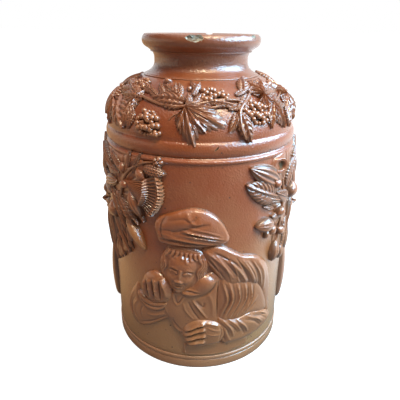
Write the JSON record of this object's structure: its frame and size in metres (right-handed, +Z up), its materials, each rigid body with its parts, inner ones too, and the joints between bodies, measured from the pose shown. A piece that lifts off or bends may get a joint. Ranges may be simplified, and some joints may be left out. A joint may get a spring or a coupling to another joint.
{
  "type": "tobacco jar",
  "caption": "Straight-sided brown salt-glazed stoneware jar with a domed shoulder, a waisted open neck and applied relief of a seated figure, side trophies and a fruiting vine.",
  "frame": {"origin": "centre of the underside", "axes": "+Z up through the mouth, -Y towards the front figure, +X to the right of a viewer who faces the front"},
  "size_m": [0.1288, 0.1292, 0.1973],
  "materials": {
    "foot_glaze": "tan brown salt glaze, glossy with a fine orange-peel texture",
    "wall_glaze": "orange-brown salt glaze, glossy with fine dark specks",
    "shoulder_glaze": "chestnut salt glaze, glossy with fine dark specks",
    "neck_glaze": "dark chestnut salt glaze, glossy",
    "figure_glaze": "golden brown salt glaze, thin on the high places and olive in the hollows",
    "side_glaze": "golden brown salt glaze, thin on the high places and olive in the hollows",
    "vine_glaze": "chestnut salt glaze, dark in the hollows"
  },
  "bodies": {
    "root": {"base_disc": "foot_glaze", "body_wall": "wall_glaze", "shoulder": "shoulder_glaze", "neck_collar": "neck_glaze", "front_figure_cap": "figure_glaze", "front_figure_coat": "figure_glaze", "front_figure_upper_arm": "figure_glaze", "front_figure_left_sleeve": "figure_glaze", "front_figure_raised_hand": "figure_glaze", "front_figure_right_sleeve": "figure_glaze", "front_figure_resting_hand": "figure_glaze", "front_figure_table": "figure_glaze", "front_figure_head": "figure_glaze", "front_figure_drape": "figure_glaze", "front_side_trumpet_flower": "side_glaze", "front_side_pod": "side_glaze", "front_side_broad_leaf": "side_glaze", "front_side_drop": "side_glaze", "front_side_sheaf": "side_glaze", "front_side_centre_leaf": "side_glaze", "front_side_centre_flower": "side_glaze", "front_side_lug": "side_glaze", "front_vine_front_leaf": "vine_glaze", "front_vine_left_leaf": "vine_glaze", "front_vine_upper_leaf": "vine_glaze", "front_vine_right_leaf": "vine_glaze", "front_vine_side_leaf": "vine_glaze", "front_vine_curled_leaf": "vine_glaze", "front_vine_left_bunch": "vine_glaze", "front_vine_upper_bunch": "vine_glaze", "front_vine_right_bunch": "vine_glaze", "front_vine_side_bunch": "vine_glaze", "back_figure_cap": "figure_glaze", "back_figure_coat": "figure_glaze", "back_figure_upper_arm": "figure_glaze", "back_figure_left_sleeve": "figure_glaze", "back_figure_raised_hand": "figure_glaze", "back_figure_right_sleeve": "figure_glaze", "back_figure_resting_hand": "figure_glaze", "back_figure_table": "figure_glaze", "back_figure_head": "figure_glaze", "back_figure_drape": "figure_glaze", "back_side_trumpet_flower": "side_glaze", "back_side_pod": "side_glaze", "back_side_broad_leaf": "side_glaze", "back_side_drop": "side_glaze", "back_side_sheaf": "side_glaze", "back_side_centre_leaf": "side_glaze", "back_side_centre_flower": "side_glaze", "back_side_lug": "side_glaze", "back_vine_front_leaf": "vine_glaze", "back_vine_left_leaf": "vine_glaze", "back_vine_upper_leaf": "vine_glaze", "back_vine_right_leaf": "vine_glaze", "back_vine_side_leaf": "vine_glaze", "back_vine_curled_leaf": "vine_glaze", "back_vine_left_bunch": "vine_glaze", "back_vine_upper_bunch": "vine_glaze", "back_vine_right_bunch": "vine_glaze", "back_vine_side_bunch": "vine_glaze"}
  },
  "joints": []
}
